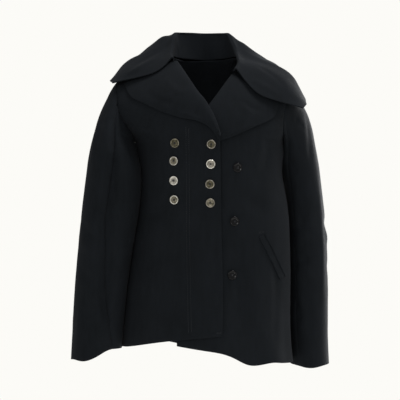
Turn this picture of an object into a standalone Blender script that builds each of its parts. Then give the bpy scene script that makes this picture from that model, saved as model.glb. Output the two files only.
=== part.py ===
"""Short double-breasted wool jacket with a wide collar, hollow as it is when worn.

It is cut as a tailor cuts it: two fronts, a back, sleeves of an upper and an under half, a collar
with its stand, and two lapels. The right front laps over the left one. Eight domed metal buttons
are sewn on the right front in two rows, and three black ones on the left front.

X runs to the wearer's left, -Y to the front and Z up. The origin lies between the neck ends of
the shoulder seams, where the jacket hangs on its wearer. Tables are in millimetres and degrees.
"""

import bpy
import bmesh
import numpy as np
from math import cos, exp, pi, radians, sin
from mathutils import Matrix, Vector

for old in list(bpy.data.objects):
    bpy.data.objects.remove(old, do_unlink=True)

MM = 0.001

CLOTH = 2.2                # wall of the wool cloth
COLLAR_CLOTH = 2.4         # the collar is two layers pressed into one
SEAM = 0.5                 # each edge stands back this far from its seam
ROUNDNESS = 0.95           # 1 makes the body's rings ellipses, less makes them squarer
BODY_FLATNESS = 1.6        # width of the body over its depth
NECK_HALF_WIDTH = 66.0     # from the middle to the neck end of a shoulder seam
BACK_NECK_Z = 2.0          # middle of the back neckline
NECK_POINT_Z = 6.0         # neck end of a shoulder seam
ARMPIT = 7                 # level of the body table at the bottom of the armholes
WAIST = 9                  # level of the body table where the hem's slope starts
HEM = 13                   # last level of the body table

# How finely each piece is divided. The body's rows are levels of its table; the first one leaves
# the gap of the shoulder seam.
BODY_ROWS = [0.065, 0.5, 1, 1.5, 2, 2.5, 3, 3.5, 4, 4.5, 5, 5.5, 6, 6.5, 7, 7.5, 8, 8.5, 9, 9.7,
             10.5, 11.3, 12.2, 13]
FRONT_COLUMNS = 12
SLEEVE_ROWS = 17
SLEEVE_COLUMNS = 9
LAPEL_ROWS = 14
COLLAR_ROWS = 27

METAL_BUTTON = 19.0        # diameter
BLACK_BUTTON = 19.5        # diameter


def table(columns, *rows):
    """A short table as named columns, each row being one section."""
    return {name: [row[i] for row in rows] for i, name in enumerate(columns.split())}


# Rings of the body from the shoulder seams (level 0) to the hem. mid is the centre of the ring,
# side its end at the armhole or the side seam, turn how far the ring has turned from the front
# when it gets there. right and left are the wearer's.
BODY = table(
    "level mid_z side_z right_x left_x front_y back_y front_side_y back_side_y turn",
    (0, 32, -42, -178, 176, 0, 0, 0, 0, 58),
    (1, 28, -47, -180, 175, -20, 26, -14, 14, 60),
    (2, -1, -60, -180, 172, -45, 60, -32, 30, 63),
    (3, -40, -84, -178, 166, -76, 88, -48, 46, 67),
    (4, -80, -108, -174, 160, -98, 100, -57, 54, 72),
    (5, -120, -130, -163, 158, -112, 106, -54, 50, 78),
    (6, -152, -152, -148, 158, -119, 108, -38, 36, 84),
    (7, -174, -172, -140, 158, -122, 109, 0, 0, 90),
    (8, -230, -230, -134, 158, -124, 108, 0, 0, 90),
    (9, -290, -290, -137, 168, -121, 105, 0, 0, 90),
    (10, -360, -360, -149, 174, -121, 106, 0, 0, 90),
    (11, -440, -440, -160, 175, -126, 113, 0, 0, 90),
    (12, -520, -520, -167, 175, -131, 121, 0, 0, 90),
    (13, -600, -600, -172, 180, -135, 128, 0, 0, 90),
)

# Front edges, from the hem to the neck: straight down from the top button, and above it the line
# on which the lapel rolls back.
RIGHT_EDGE = table(
    "z x",
    (-570, 33.5), (-520, 34.5), (-430, 33), (-287, 31), (-200, 29), (-165, 28), (-138, 20),
    (-120, 12), (-101, 1), (-82, -12), (-60, -26), (-35, -41), (-18, -52), (-4, -62), (7, -66),
)
LEFT_EDGE = table(
    "z x",
    (-600, -56), (-400, -55), (-250, -54), (-185, -54), (-170, -48), (-157, -37), (-139, -22),
    (-119, -6), (-101, 9), (-84, 22), (-67, 34), (-50, 46), (-35, 57), (-15, 65), (7, 66),
)

# Hem heights along each piece. The left front hangs lower than the right one over it.
RIGHT_HEM = table("x z", (-165, -583), (-110, -572), (-65, -565), (34, -555))
LEFT_HEM = table(
    "x z",
    (-56, -575), (-26, -580), (6, -585), (37, -591), (61, -601), (85, -613), (105, -614),
    (130, -610.5), (180, -617),
)
BACK_HEM = table("x z", (-165, -588), (-80, -596), (0, -602), (80, -610), (180, -617))

# Soft flutes that the skirt of the body falls in. at is the place round the ring, from -1 at the
# right side seam to 1 at the left one.
FLUTES = table(
    "face at half_width depth",
    (-1, 0.52, 0.16, 6.0),
    (-1, 0.24, 0.12, -3.0),
    (-1, -0.62, 0.18, 4.0),
    (1, -0.45, 0.2, 6.0),
    (1, 0.0, 0.18, -4.0),
    (1, 0.42, 0.2, 7.0),
)

# How far the right front stands off the left one where they lap.
LAP = table(
    "z lift",
    (-600, 5.0), (-300, 6.5), (-200, 11.5), (-105, 11.5), (-60, 5.0), (-20, 0.0),
)
LAP_FULL_X = -62.0         # the lap's lift is full from here to the front edge
LAP_END_X = -104.0         # and gone here

# Lapels, from the bottom of the roll line up to the collar: a row gives a place on the roll line
# and the place on the lapel's outer edge across from it.
RIGHT_LAPEL = table(
    "roll_x roll_z edge_x edge_z",
    (28, -163, 24, -170),
    (25, -153, 10, -149),
    (20, -138, -13, -135),
    (12, -120, -43, -129),
    (1, -101, -77, -118),
    (-12, -82, -115, -98),
    (-26, -60, -147, -82),
    (-41, -35, -157, -66),
    (-52, -17, -163, -53),
    (-58, -8, -165, -46),
)
LEFT_LAPEL = table(
    "roll_x roll_z edge_x edge_z",
    (-48, -170, -40, -177),
    (-37, -157, 0, -177),
    (-22, -139, 38, -168),
    (-6, -119, 70, -155),
    (9, -101, 104, -139),
    (22, -84, 134, -124),
    (34, -67, 142, -111),
    (46, -50, 145, -100),
    (55, -38, 146, -90),
)
LAPEL_TOP_SAG = -5.0       # the seam to the collar curves down this much between its ends

# A lapel's section: distance past the roll line at first, then share of its width, and its lift.
LAPEL_SECTION = table(
    "past share lift",
    (3.5, 0.0, 0.0),
    (1.4, 0.0, 4.8),
    (-3.0, 0.03, 7.4),
    (0.0, 0.16, 7.6),
    (0.0, 0.36, 6.8),
    (0.0, 0.58, 5.8),
    (0.0, 0.80, 4.8),
    (0.0, 1.00, 3.4),
)
LAPEL_FULL_WIDTH = 30.0    # a lapel narrower than this lies flatter, down to its edge's lift
LAPEL_FOLD_SHARE = 0.12    # most of a lapel's width that the fold itself takes

# Collar, from its right front end round the back to its left one: the neck seam that it stands on
# (its face is -1 on a front and 1 on the back), the top of its roll, the place where its fall
# bends over the shoulder, and its outer edge.
COLLAR = table(
    "face seam_x seam_z roll_x roll_y roll_z bend_x bend_y bend_z edge_x edge_y edge_z",
    (-1, -63, -1, -66, -43, 2, -100, -54, -28.5, -187, -44, -49),
    (-1, -65, 4, -70, -18, 14, -150, -34, -24, -191, -30, -46),
    (1, -63, 5.5, -68, 5, 32, -166, -6, -16, -195, -8, -43),
    (1, -55, 5, -65, 25, 52, -166, 20, -5, -192, 22, -40),
    (1, -42, 4, -60, 44, 61, -132, 54, 22, -166, 58, -42),
    (1, -22, 3, -31, 57, 62, -64, 80, 20, -92, 84, -54),
    (1, 0, 2, 0, 61, 61, 0, 84, 10, 0, 103, -60),
    (1, 22, 3, 27, 57, 61, 63, 80, 12, 94, 84, -58),
    (1, 42, 4, 48, 45, 60, 132, 54, 6, 170, 58, -52),
    (1, 55, 5, 57, 26, 42, 170, 20, -24, 198, 24, -64),
    (1, 63, 5.5, 65, 6, 20, 176, -4, -31, 206, -8, -82),
    (-1, 65, -12, 69, -38, -4, 152, -52, -45, 206, -34, -92),
    (-1, 60, -28, 61, -68, -23, 108, -87.5, -75, 198, -62, -101),
)
COLLAR_SEAM_RISE = 2.6     # the collar's lower edge stands over the neckline by this much
ROLL_RADIUS = 5.0          # of the fold at the top of the collar
ROLL_SHARE = 0.35          # the fold's radius is never more than this share of the stand's height
ROLL_TURNS = (-90, -45, 0, 45)
FALL_PLACES = (0.06, 0.2, 0.4, 0.6, 0.75, 0.88, 1.0)

# Sleeves from the armhole (row 0) to the cuff: the points of each ring nearest to and farthest
# from the body, its middle and half size from front to back, how much of the armhole's own shape
# it keeps, where the front seam runs (degrees round from the outer point) and how deep it lies.
RIGHT_SLEEVE = table(
    "in_x in_z out_x out_z mid_y half_depth armhole seam_at seam_depth",
    (-140, -171, -178, -42, 0, 57, 1.0, 86, 0),
    (-142, -177, -186.5, -54, -5, 60, 0.85, 90, 3),
    (-141.5, -185, -198.5, -80, -13, 61, 0.6, 92, 6),
    (-139, -195, -214, -116, -25, 60, 0.35, 92, 9),
    (-134.5, -209, -224.5, -152, -37, 58, 0.15, 90, 10),
    (-129.5, -230, -235, -197, -46, 56, 0.0, 86, 10),
    (-129, -264, -241, -248, -50, 54, 0.0, 82, 10),
    (-135, -320, -249, -310, -52, 52, 0.0, 81, 10),
    (-146, -385, -256, -382, -52, 51, 0.0, 90, 10),
    (-156, -455, -262.5, -455, -51, 50, 0.0, 99, 10),
    (-163, -525, -266.5, -528, -49, 49, 0.0, 114, 8),
    (-168, -585, -271, -609, -47, 48, 0.0, 130, 6),
)
LEFT_SLEEVE = table(
    "in_x in_z out_x out_z mid_y half_depth armhole seam_at seam_depth",
    (158, -171, 176, -42, 0, 57, 1.0, 110, 0),
    (160, -177, 185, -56, 6, 60, 0.85, 114, 1),
    (160, -186, 198, -86, 16, 61, 0.6, 118, 2),
    (158.5, -196, 216, -122, 26, 60, 0.35, 122, 2),
    (156, -210, 228, -170, 36, 59, 0.15, 126, 3),
    (156, -232, 237, -217, 45, 58, 0.0, 128, 3),
    (164, -275, 244, -270, 50, 57, 0.0, 128, 3),
    (169, -330, 249.5, -327, 50, 57, 0.0, 128, 3),
    (171, -395, 254, -393, 50, 57, 0.0, 128, 3),
    (172, -460, 256, -460, 50, 56, 0.0, 128, 3),
    (173, -534, 255.5, -535, 50, 55, 0.0, 128, 3),
    (178, -626, 258, -626, 50, 54, 0.0, 128, 2),
)
SLEEVE_START = 0.1         # row of the table at which the sleeve starts, just off the armhole
ARMHOLE_STEP = 1.6         # the sleeve stands out from the body by this much at the armhole
SLEEVE_BACK_SEAM = 268.0   # degrees round from the outer point
SLEEVE_SEAM_TURN = 1.2     # degrees that each half stands back from a seam
SEAM_HALF_WIDTH = 11.0     # degrees over which the front seam's valley closes
UNDER_SINK = 0.6           # the under half lies back by this share of the valley's depth
CUFF_REACH = 2.0           # rows of the table over which the cuff's edge takes its S shape
CUFF_STEEPNESS = 1.7
CUFF_TURN = 0.43           # share of the way out at which the S is halfway

# Centres of the buttons: x and z on the front.
METAL_BUTTONS = table(
    "x z",
    (-55.6, -175), (-57.2, -210), (-58.0, -248), (-58.2, -286.5),
    (11.6, -178.6), (10.8, -216.8), (9.3, -255), (10.2, -292.7),
)
BLACK_BUTTONS = table("x z", (63.5, -223), (57.6, -329), (53.0, -436.5))

# Turned sections: radius as a share of the button's, and height over the cloth.
METAL_SECTION = table(
    "radius height",
    (0.62, 0.0), (0.90, 0.5), (1.0, 1.3), (0.97, 2.2), (0.86, 2.7), (0.72, 2.5), (0.62, 1.9),
    (0.40, 2.1),
)
BLACK_SECTION = table(
    "radius height",
    (0.66, 0.0), (0.94, 0.5), (1.0, 1.4), (0.96, 2.5), (0.84, 3.1), (0.68, 2.7), (0.56, 1.7),
    (0.30, 1.5),
)
BUTTON_SIDES = 16
BUTTON_GAP = 1.0           # between a button's back and the cloth

# Welt of the pocket on the left front: its two ends (x and z), its width, and its section as
# shares of the width and heights over the cloth.
POCKET_TOP = (112.0, -356.0)
POCKET_FOOT = (154.0, -437.0)
WELT_WIDTH = 13.0
WELT_SECTION = table("share lift", (-0.5, 1.5), (-0.38, 2.5), (0.38, 2.5), (0.5, 1.5))
WELT_WALL = 1.0
WELT_ROWS = 8

WOOL = (0.010, 0.010, 0.012, 1)
WOOL_COLLAR = (0.012, 0.012, 0.014, 1)
PALE_METAL = (0.55, 0.50, 0.38, 1)
BLACK_RESIN = (0.012, 0.012, 0.013, 1)


def curve(knots, values, at):
    """Smooth curve through the values that never swings past them, level beyond either end."""
    knots, values = np.asarray(knots, float), np.asarray(values, float)
    if knots[0] > knots[-1]:
        knots, values = knots[::-1], values[::-1]
    at = min(max(at, knots[0]), knots[-1])
    i = min(max(int(np.searchsorted(knots, at)) - 1, 0), len(knots) - 2)
    rises = np.diff(values) / np.diff(knots)
    slopes = [rises[0], *(
        0.0 if before * after <= 0 else 2 * before * after / (before + after)
        for before, after in zip(rises, rises[1:])
    ), rises[-1]]
    span = knots[i + 1] - knots[i]
    t = (at - knots[i]) / span
    return float(
        (1 + 2 * t) * (1 - t) ** 2 * values[i]
        + t * (1 - t) ** 2 * span * slopes[i]
        + t * t * (3 - 2 * t) * values[i + 1]
        + t * t * (t - 1) * span * slopes[i + 1]
    )


def ease(t):
    """0 to 1 with level ends."""
    t = min(max(t, 0.0), 1.0)
    return t * t * (3 - 2 * t)


def ring(level):
    """The body table's columns at a level between its rows."""
    return {name: curve(BODY["level"], BODY[name], level) for name in BODY}


def on_ring(face, at, row):
    """Point of a ring at a place from -1 (right side) to 1 (left side), before hem and flutes."""
    middle = (row["right_x"] + row["left_x"]) / 2
    end = row["left_x"] if at > 0 else row["right_x"]
    turn = radians(row["turn"])
    angle = abs(at) * turn
    across = (sin(angle) / sin(turn)) ** ROUNDNESS
    last = max(cos(turn), 0.0) ** ROUNDNESS
    depth = (max(cos(angle), 0.0) ** ROUNDNESS - last) / (1 - last)
    side = "front" if face < 0 else "back"
    y = row[side + "_side_y"] + (row[side + "_y"] - row[side + "_side_y"]) * depth
    return Vector((
        middle + (end - middle) * across,
        y,
        row["mid_z"] + (row["side_z"] - row["mid_z"]) * across,
    ))


def place_on_ring(x, row):
    """The place from -1 to 1 at which a ring has this x."""
    middle = (row["right_x"] + row["left_x"]) / 2
    end = row["left_x"] if x > middle else row["right_x"]
    share = min((x - middle) / (end - middle), 1.0)
    angle = np.arcsin(share ** (1 / ROUNDNESS) * sin(radians(row["turn"])))
    return float(angle / radians(row["turn"])) * (1 if x > middle else -1)


def body(face, level, at, hem):
    """Point on the outside of the body: face -1 is its front and 1 its back."""
    row = ring(level)
    point = on_ring(face, at, row)
    fall = ease((level - WAIST) / (HEM - WAIST))
    out = Vector((point.x / BODY_FLATNESS, point.y, 0)).normalized()
    for flute_face, centre, width, depth in zip(*FLUTES.values()):
        if flute_face == face:
            point += out * depth * fall * exp(-(((at - centre) / width) ** 2))
    point.z += (curve(hem["x"], hem["z"], point.x) - BODY["mid_z"][-1]) * fall
    return point


def way_out(level, at, hem):
    """Unit vector square to the front at a level and a place round the ring."""
    along = body(-1, level, at + 0.01, hem) - body(-1, level, at - 0.01, hem)
    up = body(-1, max(level - 0.1, 0), at, hem) - body(-1, min(level + 0.1, HEM), at, hem)
    out = along.cross(up).normalized()
    return -out if out.y > 0 else out


def level_at(x, z):
    """The level whose ring has this height at this x."""
    low, high = 0.0, float(HEM)
    for _ in range(30):
        level = (low + high) / 2
        row = ring(level)
        if on_ring(-1, place_on_ring(x, row), row).z > z:
            low = level
        else:
            high = level
    return level


def lap_lift(x, z):
    """How far the right front is lifted off the body's surface by the left one under it."""
    share = ease((x - LAP_END_X) / (LAP_FULL_X - LAP_END_X))
    return curve(LAP["z"], LAP["lift"], z) * share


def surface(face, x, z, hem, lift=0.0, lapped=False):
    """Point over the body's outside at this x and height, and the way out of it."""
    def point(px, pz):
        level = level_at(px, pz)
        return body(face, level, place_on_ring(px, ring(level)), hem)
    here = point(x, z)
    out = (point(x + 3, z) - point(x - 3, z)).cross(point(x, z + 3) - point(x, z - 3))
    out.normalize()
    if out.y * face < 0:
        out.negate()
    if lapped:
        lift += lap_lift(x, z)
    return here + out * lift, out


def material(name, colour, roughness, metallic=0.0):
    made = bpy.data.materials.new(name)
    made.use_nodes = True
    shader = made.node_tree.nodes["Principled BSDF"]
    shader.inputs["Base Color"].default_value = colour
    shader.inputs["Roughness"].default_value = roughness
    shader.inputs["Metallic"].default_value = metallic
    made.diffuse_color = colour
    return made


def add_object(name, mesh, finish):
    made = bpy.data.objects.new(name, mesh)
    bpy.context.scene.collection.objects.link(made)
    mesh.materials.append(finish)
    mesh.shade_smooth()
    mesh.set_sharp_from_angle(angle=radians(50))
    return made


def cloth(name, rows, thickness, finish, turned=False):
    """A piece of cloth: rows of points on its outside, made a closed wall by Solidify."""
    count = len(rows[0])
    points = [point * MM for row in rows for point in row]
    faces = []
    for i in range(len(rows) - 1):
        for j in range(count - 1):
            corner = i * count + j
            face = (corner, corner + 1, corner + count + 1, corner + count)
            faces.append(face[::-1] if turned else face)
    mesh = bpy.data.meshes.new(name)
    mesh.from_pydata(points, [], faces)
    made = add_object(name, mesh, finish)
    wall = made.modifiers.new("wall", "SOLIDIFY")
    wall.thickness = thickness * MM
    wall.offset = -1
    wall.use_even_offset = True
    return made


def seam_place(face, row):
    """How far round a ring an edge lies that is set back from its end at the side."""
    step = 0.01
    reach = (on_ring(face, 1, row) - on_ring(face, 1 - step, row)).length / step
    return 1 - SEAM / reach


def front_piece(name, side, edge, hem, lapped, finish):
    """A front, from its edge or roll line out to the side seam and the armhole."""
    rows = []
    for level in BODY_ROWS:
        row = ring(level)
        # the ring's height depends on x, so the edge's x is found by closing in on it
        x = 0.0
        for _ in range(12):
            x = curve(edge["z"], edge["x"], on_ring(-1, place_on_ring(x, row), row).z)
        inner = place_on_ring(x, row)
        outer = side * seam_place(-1, row)
        line = []
        for j in range(FRONT_COLUMNS + 1):
            at = inner + (outer - inner) * j / FRONT_COLUMNS
            here = body(-1, level, at, hem)
            if lapped:
                here += way_out(level, at, hem) * lap_lift(here.x, here.z)
            line.append(here)
        rows.append(line)
    return cloth(name, rows, CLOTH, finish, turned=side > 0)


def neck_level(x):
    """Level of the top edge of the back: the neckline in the middle, then the shoulder seam."""
    if abs(x) >= NECK_HALF_WIDTH:
        return BODY_ROWS[0]
    z = BACK_NECK_Z + (NECK_POINT_Z - BACK_NECK_Z) * (abs(x) / NECK_HALF_WIDTH) ** 2
    return max(level_at(x, z), BODY_ROWS[0])


def back_piece(name, finish):
    top = ring(0)
    neck = place_on_ring(NECK_HALF_WIDTH, top)
    half = [neck * j / 3 for j in range(1, 4)]
    half += [neck + (1 - neck) * j / 6 for j in range(1, 7)]
    places = [-at for at in half[::-1]] + [0.0] + half
    columns = []
    for at in places:
        first = neck_level(on_ring(1, at, top).x)
        line = []
        for level in BODY_ROWS:
            share = (level - BODY_ROWS[0]) / (HEM - BODY_ROWS[0])
            here = first + (HEM - first) * share
            row = ring(here)
            limit = seam_place(1, row)
            line.append(body(1, here, min(max(at, -limit), limit), BACK_HEM))
        columns.append(line)
    return cloth(name, columns, CLOTH, finish, turned=True)


def armhole(side, degrees):
    """Point of the armhole, from the shoulder tip (0) by the front (90) and the armpit (180)."""
    level = ARMPIT * (1 - abs(1 - degrees / 180))
    face = -1 if degrees < 180 else 1
    return on_ring(face, side, ring(level))


def sleeve_point(plan, side, row_at, degrees):
    """Point on the outside of a sleeve."""
    index = range(len(plan["in_x"]))
    row = {name: curve(index, plan[name], row_at) for name in plan}
    angle = radians(degrees)
    seam = row["seam_at"]
    outwards = (1 + cos(angle)) / 2
    # the cloth sinks into a valley at the front seam, and the under half lies a little back
    sunk = row["seam_depth"] * exp(-(((degrees - seam) / SEAM_HALF_WIDTH) ** 2))
    if seam < degrees < 180:
        shallow = row["seam_depth"] * UNDER_SINK
        sunk = max(sunk, shallow * ease((180 - degrees) / (180 - seam)))
    half_depth = row["half_depth"] - sunk
    cuff = ease((row_at - index[-1] + CUFF_REACH) / CUFF_REACH)
    steep = ease((outwards - CUFF_TURN) * CUFF_STEEPNESS + 0.5)
    point = Vector((
        row["in_x"] + (row["out_x"] - row["in_x"]) * outwards,
        row["mid_y"] - half_depth * sin(angle),
        row["in_z"] + (row["out_z"] - row["in_z"]) * (outwards + (steep - outwards) * cuff),
    ))
    if row["armhole"] > 0.001:
        first = {name: plan[name][0] for name in plan}
        plain = Vector((
            first["in_x"] + (first["out_x"] - first["in_x"]) * outwards,
            first["mid_y"] - first["half_depth"] * sin(angle),
            first["in_z"] + (first["out_z"] - first["in_z"]) * outwards,
        ))
        point += (armhole(side, degrees) - plain) * row["armhole"]
        point.x += side * ARMHOLE_STEP * row["armhole"]
    return point


def sleeve_half(name, plan, side, under, finish):
    last = len(plan["in_x"]) - 1
    rows = []
    for i in range(SLEEVE_ROWS + 1):
        row_at = SLEEVE_START + (last - SLEEVE_START) * i / SLEEVE_ROWS
        seam = curve(range(last + 1), plan["seam_at"], row_at)
        start, end = (seam, SLEEVE_BACK_SEAM) if under else (SLEEVE_BACK_SEAM - 360, seam)
        start, end = start + SLEEVE_SEAM_TURN, end - SLEEVE_SEAM_TURN
        line = []
        for j in range(SLEEVE_COLUMNS + 1):
            share = j / SLEEVE_COLUMNS
            # points lie closer towards the seams, where the valley is
            share = 0.5 * share + 0.25 * (1 - cos(pi * share))
            line.append(sleeve_point(plan, side, row_at, (start + (end - start) * share) % 360))
        rows.append(line)
    return cloth(name, rows, CLOTH, finish, turned=side < 0)


def lapel(name, plan, hem, lapped, turned, finish):
    """A lapel: its section laid over the front from each place on the roll line."""
    last = len(plan["roll_x"]) - 1
    edge_lift = LAPEL_SECTION["lift"][-1]
    rows = []
    for i in range(LAPEL_ROWS + 1):
        station = last * i / LAPEL_ROWS
        place = {key: curve(range(last + 1), plan[key], station) for key in plan}
        roll = Vector((place["roll_x"], place["roll_z"]))
        edge = Vector((place["edge_x"], place["edge_z"]))
        width = (edge - roll).length
        sag = LAPEL_TOP_SAG * ease(station - last + 2)
        fullness = min(width / LAPEL_FULL_WIDTH, 1)
        line = []
        for past, share, lift in zip(*LAPEL_SECTION.values()):
            across = min(share - past / width, share + LAPEL_FOLD_SHARE)
            spot = roll + (edge - roll) * across
            inside = min(max(across, 0), 1)
            spot.y += sag * 4 * inside * (1 - inside)
            raised = lift if past > 0 else edge_lift + (lift - edge_lift) * fullness
            line.append(surface(-1, spot.x, spot.y, hem, raised, lapped)[0])
        rows.append(line)
    return cloth(name, rows, CLOTH, finish, turned)


def collar_section(station):
    """Points of the collar from its neck seam up the stand, over the roll and down the fall."""
    place = {name: COLLAR[name][station] for name in COLLAR}
    seam = surface(place["face"], place["seam_x"], place["seam_z"], LEFT_HEM)[0]
    seam.z += COLLAR_SEAM_RISE
    roll = Vector((place["roll_x"], place["roll_y"], place["roll_z"]))
    edge = Vector((place["edge_x"], place["edge_y"], place["edge_z"]))
    bend = Vector((place["bend_x"], place["bend_y"], place["bend_z"]))
    radius = min(ROLL_RADIUS, ROLL_SHARE * (roll - seam).length)
    out = Vector((bend.x - roll.x, bend.y - roll.y, 0)).normalized()
    up = Vector((0, 0, 1))
    centre = roll - up * radius
    points = [seam, seam.lerp(centre - out * radius, 0.5)]
    for turn in ROLL_TURNS:
        points.append(centre + (out * sin(radians(turn)) + up * cos(radians(turn))) * radius)
    start = centre + out * radius
    middle = (bend - start).length / ((bend - start).length + (edge - bend).length)
    for share in FALL_PLACES:
        points.append(Vector([
            curve((0, middle, 1), (start[axis], bend[axis], edge[axis]), share)
            for axis in range(3)
        ]))
    return points


def collar(name, finish):
    stations = range(len(COLLAR["face"]))
    sections = [collar_section(station) for station in stations]
    rows = []
    for i in range(COLLAR_ROWS + 1):
        station = stations[-1] * i / COLLAR_ROWS
        rows.append([
            Vector([curve(stations, [s[j][axis] for s in sections], station) for axis in range(3)])
            for j in range(len(sections[0]))
        ])
    return cloth(name, rows, COLLAR_CLOTH, finish, turned=True)


def button(name, x, z, hem, lapped, diameter, section, finish):
    """A round button turned from its section, standing just off the cloth and square to it."""
    base, out = surface(-1, x, z, hem, BUTTON_GAP, lapped)
    shape = bmesh.new()
    rings = []
    for share, height in zip(*section.values()):
        rings.append([
            shape.verts.new((
                cos(2 * pi * k / BUTTON_SIDES) * share * diameter / 2 * MM,
                sin(2 * pi * k / BUTTON_SIDES) * share * diameter / 2 * MM,
                height * MM,
            ))
            for k in range(BUTTON_SIDES)
        ])
    shape.faces.new(rings[0][::-1])
    shape.faces.new(rings[-1])
    for lower, upper in zip(rings, rings[1:]):
        for k in range(BUTTON_SIDES):
            after = (k + 1) % BUTTON_SIDES
            shape.faces.new((lower[k], lower[after], upper[after], upper[k]))
    mesh = bpy.data.meshes.new(name)
    shape.to_mesh(mesh)
    shape.free()
    made = add_object(name, mesh, finish)
    made.matrix_world = Matrix.Translation(base * MM) @ out.to_track_quat("Z", "Y").to_matrix().to_4x4()
    return made


def pocket_welt(name, finish):
    """A strip with rounded long edges that lies on the left front along the pocket's mouth."""
    top, foot = Vector(POCKET_TOP), Vector(POCKET_FOOT)
    along = (foot - top).normalized()
    across = Vector((along.y, -along.x))
    rows = []
    for i in range(WELT_ROWS + 1):
        middle = top.lerp(foot, i / WELT_ROWS)
        line = []
        for share, lift in zip(*WELT_SECTION.values()):
            spot = middle + across * WELT_WIDTH * share
            line.append(surface(-1, spot.x, spot.y, LEFT_HEM, lift)[0])
        rows.append(line)
    return cloth(name, rows, WELT_WALL, finish)


wool = material("black_melton_wool", WOOL, 0.95)
collar_wool = material("black_melton_wool_collar", WOOL_COLLAR, 0.95)
pale_metal = material("pale_cast_metal", PALE_METAL, 0.35, 1.0)
black_resin = material("black_resin", BLACK_RESIN, 0.15)

front_piece("front_left", 1, LEFT_EDGE, LEFT_HEM, False, wool)
front_piece("front_right", -1, RIGHT_EDGE, RIGHT_HEM, True, wool)
back_piece("back", wool)
for side_name, side, plan in (("right", -1, RIGHT_SLEEVE), ("left", 1, LEFT_SLEEVE)):
    sleeve_half("sleeve_upper_" + side_name, plan, side, False, wool)
    sleeve_half("sleeve_under_" + side_name, plan, side, True, wool)
lapel("lapel_left", LEFT_LAPEL, LEFT_HEM, False, False, wool)
lapel("lapel_right", RIGHT_LAPEL, RIGHT_HEM, True, True, wool)
collar("collar", collar_wool)
pocket_welt("pocket_welt_left", wool)
for number, (x, z) in enumerate(zip(*METAL_BUTTONS.values()), 1):
    button(f"metal_button_{number}", x, z, RIGHT_HEM, True, METAL_BUTTON, METAL_SECTION, pale_metal)
for number, (x, z) in enumerate(zip(*BLACK_BUTTONS.values()), 1):
    button(f"black_button_{number}", x, z, LEFT_HEM, False, BLACK_BUTTON, BLACK_SECTION, black_resin)
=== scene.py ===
from math import cos, pi, radians, sin

import bmesh
import bpy
import numpy as np
from mathutils import Matrix, Vector, noise
from mathutils.bvhtree import BVHTree
from mathutils.kdtree import KDTree


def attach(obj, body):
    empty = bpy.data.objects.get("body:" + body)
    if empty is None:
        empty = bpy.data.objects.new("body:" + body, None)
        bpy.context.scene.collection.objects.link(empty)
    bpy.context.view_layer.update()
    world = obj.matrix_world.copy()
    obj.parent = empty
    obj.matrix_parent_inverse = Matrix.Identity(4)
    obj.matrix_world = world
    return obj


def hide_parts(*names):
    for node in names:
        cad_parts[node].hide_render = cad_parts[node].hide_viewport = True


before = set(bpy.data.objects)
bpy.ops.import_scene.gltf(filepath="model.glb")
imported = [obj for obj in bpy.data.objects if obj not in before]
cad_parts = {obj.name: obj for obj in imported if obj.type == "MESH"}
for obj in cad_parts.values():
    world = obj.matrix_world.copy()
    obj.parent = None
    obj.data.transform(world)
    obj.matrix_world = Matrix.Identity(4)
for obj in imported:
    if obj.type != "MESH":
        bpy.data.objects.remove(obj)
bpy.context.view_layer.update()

# ---------------------------------------------------------------------------------------------
# The cloth: black wool melton, woven, then milled until the fibres felt over the weave and
# brushed one way. It drinks light: nearly black, quite matt, with a faint bloom where it is seen
# edge on, and a slightly uneven nap where hands and hangers have pressed it.

# patterns of the nap, by how many go to a metre
TUFTS = 520.0              # 2 mm wide: real tufts of fibre are 0.3 mm, too fine to show
STREAKS = 130.0            # 8 mm wide
PATCHES = 14.0             # a hand's breadth wide, where the nap lies another way
DOWNWARDS = (1.0, 1.0, 0.22)    # the nap is brushed down, so its streaks are long in Z


def linear(hex_colour):
    """sRGB hex to the linear values that shaders take."""
    parts = [int(hex_colour[i:i + 2], 16) / 255 for i in (0, 2, 4)]
    return (*(v / 12.92 if v <= 0.04045 else ((v + 0.055) / 1.055) ** 2.4 for v in parts), 1.0)


def add(tree, kind, settings=None, links=None):
    """A node with its settings (an input's name, or a property's), and the outputs it is fed."""
    node = tree.nodes.new(kind)
    for name, value in (settings or {}).items():
        if isinstance(name, int) or name in node.inputs:
            node.inputs[name].default_value = value
        else:
            setattr(node, name, value)
    for name, output in (links or {}).items():
        tree.links.new(output, node.inputs[name])
    return node


def ramp(tree, factor, *stops):
    """Colours blended by a factor. Each stop is the factor's value there, and the colour."""
    node = add(tree, "ShaderNodeValToRGB", links={"Fac": factor})
    while len(node.color_ramp.elements) < len(stops):
        node.color_ramp.elements.new(0.5)
    for element, (place, colour) in zip(node.color_ramp.elements, stops):
        element.position, element.color = place, colour
    return node.outputs["Color"]


def blank(name):
    """A new material, and its empty node tree."""
    made = bpy.data.materials.new(name)
    made.use_nodes = True
    made.node_tree.nodes.clear()
    return made, made.node_tree


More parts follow.
